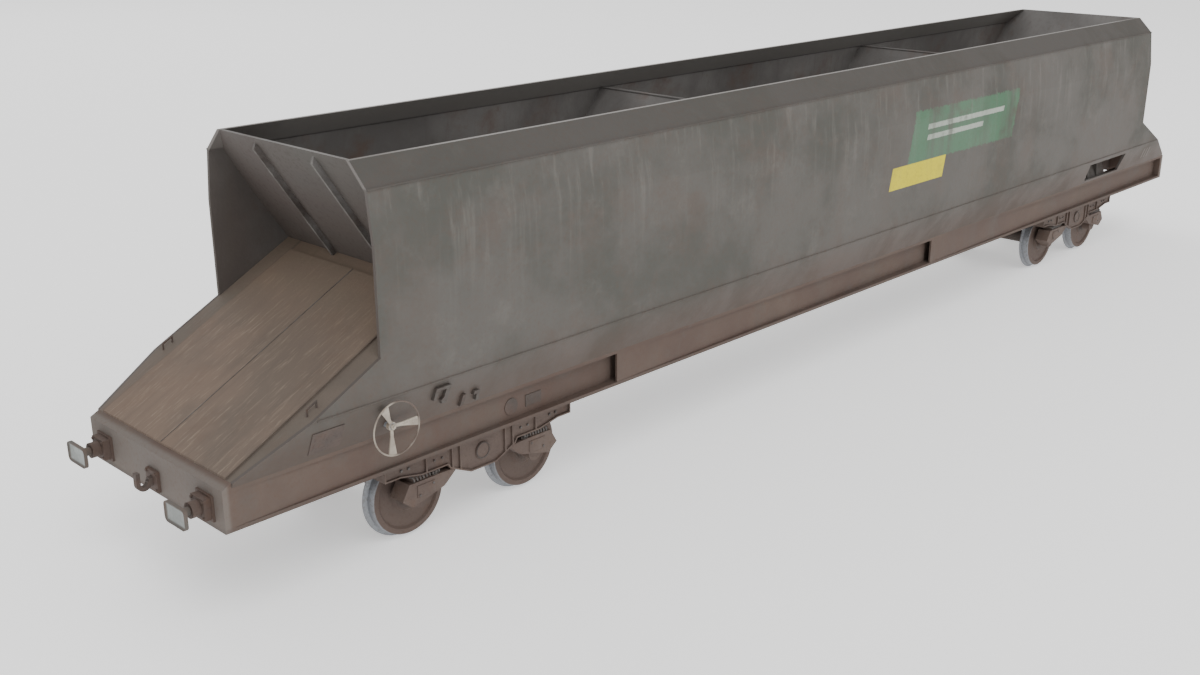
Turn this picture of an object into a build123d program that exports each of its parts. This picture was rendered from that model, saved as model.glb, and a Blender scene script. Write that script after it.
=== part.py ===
"""Bogie aggregate hopper wagon, a model at 1:43.5 for 32 mm gauge track.

Frame: X along the wagon, with the buffer end at -X. Z is up and is zero at the
wheel flange tips, which is what the model stands on. X and Y are zero at mid
length and on the centre line. All sizes are millimetres on the model.
"""
from build123d import *
import math
import os

os.makedirs("parts", exist_ok=True)

# ---- driving sizes: running gear ----
back_to_back = 29.0        # between the inner faces of the wheels
wheel_width = 3.1          # tread and flange together
flange_width = 0.9
flange_depth = 1.0
tread_radius = 9.6
wheel_web_recess = 0.5     # depth of the dish in each wheel face
axle_radius = 2.2
wheel_seat_radius = 2.6
journal_radius = 1.2
wheelbase = 34.8
bogie_x = 148.7            # bogie centre from mid length

# ---- driving sizes: bogie frame ----
frame_half_length = 27.6
frame_outer_y = 22.6       # outer face of the side frame's web
frame_web = 1.1
frame_flange = 0.5         # how far the side frame's rims stand proud
frame_rim = 0.35           # width of those rims
frame_top_z = 20.9
frame_arm_z = 16.9         # underside of the arms over the axleboxes
frame_end_z = 18.1         # underside at the frame's outer ends
frame_belly_z = 13.1       # underside of the deep middle
frame_belly_half = 3.8
frame_shoulder_x = 10.4    # where the deep middle meets the arms
transom_half = 5.2
transom_bottom_z = 14.6
end_beam = 1.3
spring_radius = 1.35
spring_turns = 4

# ---- driving sizes: body ----
headstock_x = 215.7        # outer face of each headstock
headstock_plate = 2.1
wing_x = 180.8             # upright end edge of each hopper side
rim_half = 23.75
kink_half = 28.8
half_width = 30.25
sill_tuck = 4.15           # how far the sides tuck in from their fold to the sills
sill_half = half_width - sill_tuck
rim_z = 88.2
kink_z = 83.2
shoulder_z = 71.65
fold_z = 40.7
sill_top_z = 31.2
sill_bottom_z = 22.2
wing_foot_z = 49.5
sheet = 0.8                # plate used for sides, ends, ridges, chutes and decks

# ---- driving sizes: hopper ----
valley_x = 161.6           # where the end sheet meets the sloping deck
ridge_x = (-57.5, 72.0)
ridge_z = 83.2
ridge_run = 0.672          # run of a ridge's slope for each unit of drop
chute_top_z = 42.0
chute_bottom_z = 19.0
outlet_x = (-104.0, 7.0, 108.0)
outlet_length = 15.6
outlet_half = 10.4
rib_y = 10.5
rib_depth = 1.5
rib_thickness = 0.7
deck_plate_half = 24.2
deck_plate_thickness = 0.4
deck_plate_back = 3.2      # the deck plate stops this far short of the valley

# ---- driving sizes: fittings ----
buffer_y = 19.85
buffer_z = 26.5
buffer_reach = 6.8         # buffer face in front of the headstock
buffer_head_width = 7.5
buffer_head_height = 4.4
buffer_stem_radius = 0.9
buffer_travel = 1.5
hook_z = 25.3
hook_travel = 1.2
drawbar_pivot = 2.2        # pivot pin in front of the far headstock
brake_shaft_radius = 0.7
brake_x = -178.1
brake_z = 33.8
brake_radius = 5.75
door_open_gap = 0.1

# ---- clearances ----
running_fit = 0.05         # radial, shaft in a bearing
face_gap = 0.2             # between flat faces that move past each other
pivot_gap = 0.3            # between the body's centre plate and the bogie

# ---- sizes that follow ----
rail_z = flange_depth
axle_z = rail_z + tread_radius
wheel_inner_y = back_to_back / 2
wheel_outer_y = wheel_inner_y + wheel_width
deck_slope = (wing_foot_z - sill_top_z) / (headstock_x - wing_x)
deck_front_x = headstock_x - headstock_plate
buffer_face_x = headstock_x + buffer_reach
ends = {"near": -1, "far": 1}
sides = {"left": -1, "right": 1}


def deck_z(x):
    """Height of the sloping deck's base at a distance x from mid length."""
    return sill_top_z + deck_slope * (headstock_x - abs(x))


valley_z = deck_z(valley_x)


def finish(builder, name):
    """Label a finished piece and write its STEP file."""
    builder.part.label = name
    export_step(builder.part, f"parts/{name}.step")


def body_outline(inset, above=3.0, below=3.0):
    """The hopper's closed cross-section, inset from its outer faces."""
    lean = (kink_half - rim_half) / (kink_z - rim_z)
    tuck = (half_width - sill_half) / (fold_z - sill_top_z)
    right = [
        (rim_half + lean * above, rim_z + above),
        (kink_half, kink_z),
        (half_width, shoulder_z),
        (half_width, fold_z),
        (sill_half - tuck * below, sill_top_z - below),
    ]
    left = [(-y, z) for y, z in reversed(right)]
    with BuildSketch(Plane.YZ) as outline:
        with BuildLine():
            Polyline(*right, *left, close=True)
        make_face()
        if inset:
            offset(amount=-inset, kind=Kind.INTERSECTION, mode=Mode.REPLACE)
    return outline.sketch


def box(x_range, y_range, z_range, mode=Mode.ADD):
    """A block between two limits on each axis, inside the current part."""
    (x0, x1), (y0, y1), (z0, z1) = x_range, y_range, z_range
    with Locations(((x0 + x1) / 2, (y0 + y1) / 2, (z0 + z1) / 2)):
        Box(abs(x1 - x0), abs(y1 - y0), abs(z1 - z0), mode=mode)


def rod(centre, radius, length, direction, mode=Mode.ADD):
    """A round bar centred on a point and lying along one direction."""
    with Locations(Plane(origin=centre, z_dir=direction).location):
        Cylinder(radius, length, mode=mode)


def bent_plate(points, thickness):
    """Section of a bent plate in the XZ plane; points are its outer line, in order."""
    with BuildSketch(Plane.XZ) as section:
        with BuildLine():
            Polyline(*points)
            offset(amount=thickness, side=Side.RIGHT, kind=Kind.INTERSECTION)
        make_face()
    return section.sketch


def flat_shape(points, plane=Plane.XZ):
    """Closed straight-sided shape on a plane."""
    with BuildSketch(plane) as shape:
        with BuildLine():
            Polyline(*points, close=True)
        make_face()
    return shape.sketch


def side_plane(side, y):
    """Upright plane at one side, with X and Z as its own two directions."""
    return Plane.XZ.offset(-side * y)


# ---- hopper sides ----
side_tuck = (half_width - sill_half) / (fold_z - sill_top_z)
window = [(140.0, 39.1), (169.9, 39.1), (170.7, 32.3), (142.6, 32.3)]
side_shape = [
    (-deck_front_x, sill_top_z),
    (-deck_front_x, deck_z(deck_front_x)),
    (-wing_x, wing_foot_z),
    (-wing_x, rim_z),
    (wing_x, rim_z),
    (wing_x, wing_foot_z),
    (deck_front_x, deck_z(deck_front_x)),
    (deck_front_x, sill_top_z),
]


def side_face_y(z):
    """Distance from the centre line of the side's tucked-in lower face."""
    return half_width - (fold_z - z) * side_tuck


def side_sheet(side):
    outward = -side * 2 * half_width
    with BuildPart() as part:
        extrude(body_outline(0), amount=headstock_x, both=True)
        extrude(body_outline(sheet), amount=headstock_x, both=True, mode=Mode.SUBTRACT)
        extrude(flat_shape(side_shape), amount=outward, mode=Mode.INTERSECT)
        extrude(flat_shape(window), amount=outward, mode=Mode.SUBTRACT)
        shaft_hole = (brake_x, side * half_width, brake_z)
        rod(shaft_hole, brake_shaft_radius + running_fit, half_width, (0, 1, 0), Mode.SUBTRACT)
    return part


for word, side in sides.items():
    finish(side_sheet(side), f"side_sheet_{word}")

# ---- sloping end sheets, their ribs, and the decks ----
end_run = (wing_x - valley_x) / (rim_z - valley_z)
end_foot_x = valley_x - (valley_z - chute_top_z)


def end_sheet(end):
    reach = 3.0
    line = [
        (wing_x + end_run * reach, rim_z + reach),
        (valley_x, valley_z),
        (end_foot_x - reach, chute_top_z - reach),
    ]
    with BuildPart() as part:
        extrude(bent_plate(line, sheet), amount=half_width, both=True)
        box((0, wing_x), (-half_width, half_width), (chute_top_z, rim_z), Mode.INTERSECT)
        extrude(body_outline(sheet), amount=headstock_x, both=True, mode=Mode.INTERSECT)
        if end < 0:
            mirror(about=Plane.YZ, mode=Mode.REPLACE)
    return part


for word, end in ends.items():
    finish(end_sheet(end), f"end_sheet_{word}")


def end_outer_x(z):
    """Outer face of the end sheet above the valley."""
    return valley_x + end_run * (z - valley_z)


with BuildPart() as end_ribs:
    rib_foot = rib_depth / (1 + end_run * deck_slope)
    rib_top_z = rim_z - 1.2
    rib_shape = [
        (end_outer_x(rib_top_z), rib_top_z),
        (end_outer_x(rib_top_z - rib_depth) + rib_depth, rib_top_z - rib_depth),
        (valley_x + rib_foot, deck_z(valley_x + rib_foot)),
        (valley_x, valley_z),
    ]
    with Locations((0, rib_y, 0), (0, -rib_y, 0)):
        add(extrude(flat_shape(rib_shape), amount=rib_thickness / 2, both=True, mode=Mode.PRIVATE))
    mirror(about=Plane.YZ)
finish(end_ribs, "end_ribs")


def end_deck(end):
    drop = sheet * math.hypot(1, deck_slope)
    tuck = drop / (1 + deck_slope)
    shape = [
        (deck_front_x, deck_z(deck_front_x) - drop),
        (deck_front_x, deck_z(deck_front_x)),
        (valley_x, valley_z),
        (valley_x - tuck, valley_z - tuck),
    ]
    with BuildPart() as part:
        extrude(flat_shape(shape), amount=half_width, both=True)
        extrude(body_outline(sheet), amount=headstock_x, both=True, mode=Mode.INTERSECT)
        box((0, headstock_x), (-half_width, half_width), (sill_top_z, rim_z), Mode.INTERSECT)
        if end < 0:
            mirror(about=Plane.YZ, mode=Mode.REPLACE)
    return part


for word, end in ends.items():
    finish(end_deck(end), f"end_deck_{word}")

with BuildPart() as deck_plates:
    plate_rise = deck_plate_thickness * math.hypot(1, deck_slope)
    plate_back_x = valley_x + deck_plate_back
    plate_shape = [
        (deck_front_x, deck_z(deck_front_x)),
        (deck_front_x, deck_z(deck_front_x) + plate_rise),
        (plate_back_x, deck_z(plate_back_x) + plate_rise),
        (plate_back_x, deck_z(plate_back_x)),
    ]
    extrude(flat_shape(plate_shape), amount=deck_plate_half, both=True)
    mirror(about=Plane.YZ)
finish(deck_plates, "deck_plates")

# ---- ridges between the bays, and the discharge chutes ----
ridge_half = (ridge_z - chute_top_z) * ridge_run


def ridge(x):
    reach = 3.0
    line = [
        (x - ridge_half - reach * ridge_run, chute_top_z - reach),
        (x, ridge_z),
        (x + ridge_half + reach * ridge_run, chute_top_z - reach),
    ]
    with BuildPart() as part:
        extrude(bent_plate(line, sheet), amount=half_width, both=True)
        box((x - wing_x, x + wing_x), (-half_width, half_width), (chute_top_z, rim_z), Mode.INTERSECT)
        extrude(body_outline(sheet), amount=headstock_x, both=True, mode=Mode.INTERSECT)
    return part


for word, x in zip(ends, ridge_x):
    finish(ridge(x), f"ridge_{word}")

bays = {
    "near": (-end_foot_x, ridge_x[0] - ridge_half),
    "middle": (ridge_x[0] + ridge_half, ridge_x[1] - ridge_half),
    "far": (ridge_x[1] + ridge_half, end_foot_x),
}
door_pin_radius = 0.5
door_barrel_radius = 0.9
door_thickness = 0.8
door_pin_y = outlet_half + 1.1
door_pin_z = chute_bottom_z - 0.7
door_half_length = outlet_length / 2
lug_thickness = 1.2
lug_outer_x = door_half_length + lug_thickness
sill_depth = 3.9
chute_waist_half = sill_half - sill_depth - 1.7


def frustum(upper, lower):
    """Closed tapering block between two levels, each given as (z, x limits, half width)."""
    with BuildPart() as block:
        for z, x_range, half in (upper, lower):
            with BuildSketch(Plane.XY.offset(z)):
                with Locations((sum(x_range) / 2, 0)):
                    Rectangle(x_range[1] - x_range[0], 2 * half)
        loft()
    return block.part


def funnel(top_x, bottom_x, wall):
    """Chute's solid shape, or its hollow when wall is the plate's thickness."""
    top_x = (top_x[0] + wall, top_x[1] - wall)
    bottom_x = (bottom_x[0] + wall, bottom_x[1] - wall)
    share = (sill_top_z - chute_bottom_z) / (chute_top_z - chute_bottom_z)
    waist_x = tuple(low + (high - low) * share for low, high in zip(bottom_x, top_x))
    top = (chute_top_z, top_x, half_width - sheet - wall)
    waist = (sill_top_z, waist_x, chute_waist_half - wall)
    bottom = (chute_bottom_z, bottom_x, outlet_half - wall)
    with BuildPart() as shape:
        add(frustum(top, waist))
        add(frustum(waist, bottom))
    return shape.part


def chute(top_x, outlet):
    bottom_x = (outlet - door_half_length, outlet + door_half_length)
    with BuildPart() as part:
        add(funnel(top_x, bottom_x, 0))
        for lug_side in sides.values():
            for lug_end in ends.values():
                x0 = outlet + lug_end * (door_half_length - 0.2)
                x1 = outlet + lug_end * lug_outer_x
                y0 = lug_side * (outlet_half - 1.5)
                y1 = lug_side * (door_pin_y + 1.0)
                box((x0, x1), (y0, y1), (door_pin_z - 1.0, chute_bottom_z + 1.6))
                pin_spot = ((x0 + x1) / 2, lug_side * door_pin_y, door_pin_z)
                rod(pin_spot, door_pin_radius, 4 * lug_thickness, (1, 0, 0), Mode.SUBTRACT)
        add(funnel(top_x, bottom_x, sheet), mode=Mode.SUBTRACT)
        swing_x = door_half_length - 0.2
        box(
            (outlet - swing_x, outlet + swing_x),
            (-2 * outlet_half, 2 * outlet_half),
            (0, chute_bottom_z),
            Mode.SUBTRACT,
        )
    return part


for (word, top_x), outlet in zip(bays.items(), outlet_x):
    finish(chute(top_x, outlet), f"chute_{word}")


def door_leaf(outlet, side):
    half = door_half_length - 0.2 - face_gap
    top = chute_bottom_z - 0.15
    spot = (outlet, side * door_pin_y, door_pin_z)
    with BuildPart() as part:
        leaf_y = (side * door_open_gap, side * door_pin_y)
        box((outlet - half, outlet + half), leaf_y, (top - door_thickness, top))
        rod(spot, door_barrel_radius, 2 * half, (1, 0, 0))
        for rib_x in (outlet - half / 2, outlet + half / 2):
            box(
                (rib_x - 0.3, rib_x + 0.3),
                (side * 1.0, side * (door_pin_y - 1.0)),
                (top - door_thickness - 0.7, top - door_thickness + 0.2),
            )
        rod(spot, door_pin_radius + running_fit, 4 * half, (1, 0, 0), Mode.SUBTRACT)
    return part


for word, outlet in zip(bays, outlet_x):
    for side_word, side in sides.items():
        finish(door_leaf(outlet, side), f"door_{word}_{side_word}")

with BuildPart() as door_pins:
    for outlet in outlet_x:
        for side in sides.values():
            spot = (outlet, side * door_pin_y, door_pin_z)
            rod(spot, door_pin_radius, 2 * lug_outer_x, (1, 0, 0))
finish(door_pins, "door_pins")

# ---- underframe ----
sill_lip = 0.8
panel_thickness = 0.6
panel_joints = (-deck_front_x, -108.0, 36.8, deck_front_x)
panel_proud = sill_half - 0.05
panel_sunk = sill_half - 2.35
hook_hole = 0.1            # clearance round the drawhook's shank
shank_half_y = 0.6
shank_half_z = 0.8


def headstock(end):
    shape = [
        (deck_front_x, sill_bottom_z),
        (headstock_x, sill_bottom_z),
        (headstock_x, sill_top_z),
        (deck_front_x, deck_z(deck_front_x)),
    ]
    with BuildPart() as part:
        extrude(flat_shape(shape), amount=sill_half, both=True)
        if end < 0:
            mirror(about=Plane.YZ, mode=Mode.REPLACE)
            slot_y = shank_half_y + hook_hole
            slot_z = shank_half_z + hook_hole
            box(
                (-headstock_x - 1, -deck_front_x + 1),
                (-slot_y, slot_y),
                (hook_z - slot_z, hook_z + slot_z),
                Mode.SUBTRACT,
            )
    return part


for word, end in ends.items():
    finish(headstock(end), f"headstock_{word}")


def solebar(side):
    inner = side * (sill_half - sill_depth)
    length = (-deck_front_x, deck_front_x)
    with BuildPart() as part:
        box(length, (inner, side * sill_half), (sill_bottom_z, sill_top_z))
        box(
            length,
            (inner + side * sill_lip, side * (sill_half + 1)),
            (sill_bottom_z + sill_lip, sill_top_z - sill_lip),
            Mode.SUBTRACT,
        )
    return part


def sill_panels(side):
    height = sill_top_z - sill_bottom_z - 2 * sill_lip
    with BuildPart() as part:
        for x0, x1 in zip(panel_joints, panel_joints[1:]):
            plan = [
                (x0, side * panel_proud),
                (x1, side * panel_sunk),
                (x1, side * (panel_sunk - panel_thickness)),
                (x0, side * (panel_proud - panel_thickness)),
            ]
            extrude(flat_shape(plan, Plane.XY.offset(sill_bottom_z + sill_lip)), amount=height)
    return part


for word, side in sides.items():
    finish(solebar(side), f"solebar_{word}")
    finish(sill_panels(side), f"sill_panels_{word}")

bolster_half_x = 5.5
bolster_bottom_z = frame_top_z + 1.8
bolster_top_z = 28.5
pivot_radius = 2.0
pivot_foot_z = transom_bottom_z + 0.8
stub_half = 5.5
stub_wall = 1.0
stub_bottom_z = sill_bottom_z + 1.0

with BuildPart() as stub_sills:
    for end in ends.values():
        span = (end * (bogie_x + bolster_half_x), end * deck_front_x)
        box(span, (-stub_half, stub_half), (stub_bottom_z, bolster_top_z))
        hollow = stub_half - stub_wall
        box(span, (-hollow, hollow), (stub_bottom_z, bolster_top_z - stub_wall), Mode.SUBTRACT)
finish(stub_sills, "stub_sills")

with BuildPart() as body_bolsters:
    for end in ends.values():
        x = end * bogie_x
        web_y = sill_half - sill_depth
        box((x - bolster_half_x, x + bolster_half_x), (-web_y, web_y), (bolster_bottom_z, bolster_top_z))
        pin_length = bolster_bottom_z - pivot_foot_z + 1
        rod((x, 0, pivot_foot_z + pin_length / 2), pivot_radius, pin_length, (0, 0, 1))
finish(body_bolsters, "body_bolsters")

# ---- buffers at the near end ----
base_plate = 0.5
housing_box = 1.4
housing_collar = 1.9
housing_reach = base_plate + housing_box + housing_collar
pocket_radius = buffer_stem_radius + 0.35
collar_radius = pocket_radius + 0.4
box_half = (2.4, 2.2)
pocket_depth = 3.0
rubber_thickness = 0.4
flange_thickness = 0.5
head_thickness = 0.8
stem_inner = buffer_travel + rubber_thickness + 0.1


def ahead(distance):
    """X of a point that far in front of the near headstock."""
    return -(headstock_x + distance)


def ahead_rod(side, start, stop, radius, mode=Mode.ADD):
    middle = (ahead((start + stop) / 2), side * buffer_y, buffer_z)
    rod(middle, radius, stop - start, (1, 0, 0), mode)


with BuildPart() as buffer_housings:
    for side in sides.values():
        y = side * buffer_y
        for reach, rim in ((base_plate, 0.5), (base_plate + housing_box, 0)):
            half_y = box_half[0] + rim
            half_z = box_half[1] + rim
            across = (y - half_y, y + half_y)
            box((ahead(0), ahead(reach)), across, (buffer_z - half_z, buffer_z + half_z))
        ahead_rod(side, 0, housing_reach, collar_radius)
        ahead_rod(side, -1, pocket_depth, pocket_radius, Mode.SUBTRACT)
        ahead_rod(side, pocket_depth - 1, housing_reach + 1, buffer_stem_radius + running_fit, Mode.SUBTRACT)
finish(buffer_housings, "buffer_housings")

with BuildPart() as buffer_rubbers:
    for side in sides.values():
        ahead_rod(side, 0, rubber_thickness, pocket_radius - 0.1)
finish(buffer_rubbers, "buffer_rubbers")


def buffer(side):
    head_start = buffer_reach - head_thickness
    with BuildPart() as part:
        head_centre = (ahead(head_start), side * buffer_y, buffer_z)
        with BuildSketch(Plane(origin=head_centre, x_dir=(0, 1, 0), z_dir=(-1, 0, 0))):
            RectangleRounded(buffer_head_width, buffer_head_height, 1.0)
        extrude(amount=head_thickness)
        ahead_rod(side, stem_inner, head_start + 0.2, buffer_stem_radius)
        ahead_rod(side, stem_inner, stem_inner + flange_thickness, pocket_radius - running_fit)
    return part


for word, side in sides.items():
    finish(buffer(side), f"buffer_{word}")

# ---- drawhook at the near end ----
hook_plate = 0.7
hook_centre = 2.6
hook_outer = 1.65
hook_inner = 0.75
nut_length = 1.2
nut_half = 1.8
shank_end_x = -(deck_front_x - hook_travel - nut_length - 0.6)

with BuildPart() as drawhook_plate:
    box((ahead(0), ahead(hook_plate)), (-2.2, 2.2), (hook_z - 2.2, hook_z + 2.2))
    slot_y = shank_half_y + hook_hole
    slot_z = shank_half_z + hook_hole
    box((ahead(-1), ahead(2)), (-slot_y, slot_y), (hook_z - slot_z, hook_z + slot_z), Mode.SUBTRACT)
finish(drawhook_plate, "drawhook_plate")

with BuildPart() as drawhook:
    with BuildSketch(Plane.XZ):
        with Locations((ahead(hook_centre), hook_z)):
            Circle(hook_outer)
            Circle(hook_inner, mode=Mode.SUBTRACT)
            with Locations((0.35, hook_outer)):
                Rectangle(2 * hook_inner + 0.7, 2 * hook_outer - 0.4, mode=Mode.SUBTRACT)
            with Locations((-(hook_inner + hook_outer) / 2, 1.2)):
                Rectangle(hook_outer - hook_inner, 2.6)
    extrude(amount=shank_half_y, both=True)
    box(
        (ahead(hook_centre - hook_inner - 0.3), shank_end_x),
        (-shank_half_y, shank_half_y),
        (hook_z - shank_half_z, hook_z + shank_half_z),
    )
finish(drawhook, "drawhook")

with BuildPart() as drawhook_nut:
    nut_x = -(deck_front_x - hook_travel - 0.1)
    box((nut_x, nut_x + nut_length), (-nut_half, nut_half), (hook_z - nut_half, hook_z + nut_half))
    box(
        (nut_x - 1, nut_x + nut_length + 1),
        (-shank_half_y, shank_half_y),
        (hook_z - shank_half_z, hook_z + shank_half_z),
        Mode.SUBTRACT,
    )
finish(drawhook_nut, "drawhook_nut")

# ---- bar coupling at the far end ----
bar_half_z = 1.2
bar_pin_radius = 0.8
bar_half_y = 1.5
lug_plate = 0.8
pocket_plate = 0.5
pivot_x = headstock_x + drawbar_pivot
bar_eye_x = buffer_face_x - bar_half_y
lug_z = bar_half_z + 0.15

with BuildPart() as drawbar_pocket:
    box((headstock_x, headstock_x + pocket_plate), (-3.6, 3.6), (hook_z - 3.0, hook_z + 3.0))
    for up in (-1, 1):
        lug = (hook_z + up * lug_z, hook_z + up * (lug_z + lug_plate))
        box((headstock_x, pivot_x + 1.3), (-1.6, 1.6), lug)
    rod((pivot_x, 0, hook_z), bar_pin_radius, 4 * lug_z, (0, 0, 1), Mode.SUBTRACT)
finish(drawbar_pocket, "drawbar_pocket")

with BuildPart() as drawbar_pin:
    rod((pivot_x, 0, hook_z), bar_pin_radius, 2 * (lug_z + lug_plate), (0, 0, 1))
finish(drawbar_pin, "drawbar_pin")

with BuildPart() as drawbar:
    with BuildSketch(Plane.XY.offset(hook_z - bar_half_z)):
        with Locations(((pivot_x + bar_eye_x) / 2, 0)):
            SlotCenterToCenter(bar_eye_x - pivot_x, 2 * bar_half_y)
        with Locations((pivot_x, 0)):
            Circle(bar_pin_radius + running_fit, mode=Mode.SUBTRACT)
        with Locations((bar_eye_x, 0)):
            Circle(bar_pin_radius, mode=Mode.SUBTRACT)
    extrude(amount=2 * bar_half_z)
finish(drawbar, "drawbar")

# ---- handbrake: a wheel each side on one cross shaft ----
ring_y = half_width + 0.4
ring_wire = 0.18
hub_radius = 0.95
hub_inner_y = side_face_y(brake_z) + 1.06
hub_y = (hub_inner_y, hub_inner_y + 0.9)
spoke_thickness = 0.3
spoke_angles = (2, 120, 256)


def brake_wheel(side):
    hub_plane = Plane(origin=(brake_x, 0, brake_z), x_dir=(1, 0, 0), z_dir=(0, 0, 1))
    wheel_axis = Axis((brake_x, 0, brake_z), (0, 1, 0))
    dish = [
        (hub_radius - 0.3, side * hub_y[1]),
        (brake_radius, side * (ring_y + spoke_thickness / 2)),
        (brake_radius, side * (ring_y - spoke_thickness / 2)),
        (hub_radius - 0.3, side * (hub_y[1] - spoke_thickness)),
    ]
    wedge = [(0.3, -0.3), (2.2, -0.4), (brake_radius, -1.05), (brake_radius, 1.05), (2.2, 0.4), (0.3, 0.3)]
    with BuildPart() as part:
        revolve(flat_shape(dish, hub_plane), axis=wheel_axis)
        with BuildSketch(Plane.XZ):
            for angle in spoke_angles:
                with Locations((brake_x, brake_z)):
                    Polygon(*wedge, rotation=angle, align=None)
        extrude(amount=-side * 2 * half_width, mode=Mode.INTERSECT)
        with BuildSketch(hub_plane):
            with Locations((brake_radius, side * ring_y)):
                Circle(ring_wire)
        revolve(axis=wheel_axis)
        middle = (brake_x, side * (hub_y[0] + hub_y[1]) / 2, brake_z)
        rod(middle, hub_radius, hub_y[1] - hub_y[0], (0, 1, 0))
        rod(middle, brake_shaft_radius, half_width, (0, 1, 0), Mode.SUBTRACT)
    return part


for word, side in sides.items():
    finish(brake_wheel(side), f"brake_wheel_{word}")

with BuildPart() as brake_cross_shaft:
    rod((brake_x, 0, brake_z), brake_shaft_radius, 2 * hub_y[1], (0, 1, 0))
finish(brake_cross_shaft, "brake_cross_shaft")

# ---- small fittings ----
grab_x = (194.4, 197.0)
grab_y = 27.4
grab_wire = 0.3
grab_rise = 1.5


def raised_on_side(shape, height):
    """A flat shape standing off both sides of the hopper, following their slope."""
    with BuildPart() as raised:
        extrude(shape, amount=2 * half_width, both=True)
        extrude(body_outline(-height), amount=headstock_x, both=True, mode=Mode.INTERSECT)
        extrude(body_outline(0), amount=headstock_x, both=True, mode=Mode.SUBTRACT)
    return raised.part


with BuildPart() as grab_handles:
    grab_outline = [(x, deck_z(x)) for x in grab_x] + [(x, deck_z(x) + grab_rise) for x in grab_x[::-1]]
    inner_x = (grab_x[0] + grab_wire, grab_x[1] - grab_wire)
    inner_top = [(x, deck_z(x) + grab_rise - grab_wire) for x in inner_x[::-1]]
    grab_gap = [(x, deck_z(x)) for x in inner_x] + inner_top
    for side in sides.values():
        with Locations((0, side * grab_y, 0)):
            add(extrude(flat_shape(grab_outline), amount=grab_wire / 2, both=True, mode=Mode.PRIVATE))
    extrude(flat_shape(grab_gap), amount=half_width, both=True, mode=Mode.SUBTRACT)
    mirror(about=Plane.YZ, mode=Mode.REPLACE)
finish(grab_handles, "grab_handles")

hook_bracket = [
    (-167.2, 36.2),
    (-166.3, 36.2),
    (-166.3, 38.4),
    (-164.3, 38.4),
    (-164.3, 36.4),
    (-164.9, 35.6),
    (-164.4, 34.6),
    (-163.2, 34.6),
    (-163.2, 39.2),
    (-167.2, 39.2),
]
hook_bar = [(-158.6, 31.9), (-157.7, 31.9), (-157.7, 34.9), (-158.6, 34.9)]
hook_tooth = [(-155.4, 34.9), (-153.9, 34.9), (-153.5, 32.2), (-154.3, 32.2), (-154.5, 33.9), (-155.4, 33.9)]
with BuildPart() as tie_hooks:
    for shape in (hook_bracket, hook_bar, hook_tooth):
        add(raised_on_side(flat_shape(shape), 0.8))
finish(tie_hooks, "tie_hooks")

label_thickness = 0.15
panel_slope = (panel_proud - panel_sunk) / (panel_joints[1] - panel_joints[0])


def panel_face_y(x):
    """Outer face of the first sill panel."""
    return panel_proud - panel_slope * (x - panel_joints[0])


with BuildPart() as label_plates:
    data_panel = [(-197.0, 32.7), (-189.5, 32.7), (-189.5, 37.8), (-197.0, 37.8)]
    add(raised_on_side(flat_shape(data_panel), label_thickness))
    for side in sides.values():
        with BuildSketch(side_plane(side, panel_face_y(panel_joints[1]) - 1.0)):
            with Locations((-134.4, 26.0)):
                Rectangle(5.0, 2.8)
            with Locations((-141.4, 26.0)):
                Circle(2.0)
        extrude(amount=-side * (panel_proud - panel_sunk + 1.0))
        cover = [(x, side * (panel_face_y(x) + label_thickness)) for x in panel_joints[:2]]
        cover += [(x, side * (panel_proud + 3.0)) for x in panel_joints[1::-1]]
        behind = [(x, side * panel_face_y(x)) for x in panel_joints[:2]]
        behind += [(x, side) for x in panel_joints[1::-1]]
        for cut in (cover, behind):
            extrude(flat_shape(cut, Plane.XY), amount=sill_top_z, mode=Mode.SUBTRACT)
finish(label_plates, "label_plates")

bolt_radius = 0.3
bolt_height = 0.3
bolt_spacings = {
    "buffer": (2 * box_half[0] - 0.9, 2 * box_half[1] - 0.9),
    "hook": (3.5, 3.5),
    "drawbar": (5.6, 4.8),
}


def bolt_heads(x, y, z, facing, spacing):
    """Four hexagon heads on an upright plate that faces along X."""
    with BuildSketch(Plane(origin=(x, y, z), x_dir=(0, 1, 0), z_dir=(facing, 0, 0))) as heads:
        with GridLocations(*bolt_spacings[spacing], 2, 2):
            RegularPolygon(bolt_radius, 6)
    return extrude(heads.sketch, amount=bolt_height, mode=Mode.PRIVATE)


with BuildPart() as end_bolts:
    for side in sides.values():
        add(bolt_heads(ahead(base_plate + housing_box), side * buffer_y, buffer_z, -1, "buffer"))
    add(bolt_heads(ahead(hook_plate), 0, hook_z, -1, "hook"))
    add(bolt_heads(headstock_x + pocket_plate, 0, hook_z, 1, "drawbar"))
finish(end_bolts, "end_bolts")

# ---- sloping plates and gussets behind the windows ----
access_x = (end_foot_x + 1.2, end_foot_x + 20.0)
access_top_z = 39.6
access_plate = 0.8
access_foot_y = sill_half - sheet * math.hypot(1, side_tuck) - 0.23
access_top_y = access_foot_y - 3.6
gusset_thickness = 0.5
with BuildPart() as access_plates:
    for side in sides.values():
        lean = [
            (side * access_foot_y, sill_top_z),
            (side * access_top_y, access_top_z),
            (side * (access_top_y - access_plate), access_top_z),
            (side * (access_foot_y - access_plate), sill_top_z),
        ]
        gusset = [
            (side * access_foot_y, sill_top_z),
            (side * access_top_y, access_top_z),
            (side * (access_top_y + 3.0), access_top_z),
        ]
        extrude(flat_shape(lean, Plane.YZ.offset(access_x[0])), amount=access_x[1] - access_x[0])
        for step in (3.8, 11.3):
            gusset_plane = Plane.YZ.offset(access_x[0] + step)
            extrude(flat_shape(gusset, gusset_plane), amount=gusset_thickness)
finish(access_plates, "access_plates")

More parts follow.
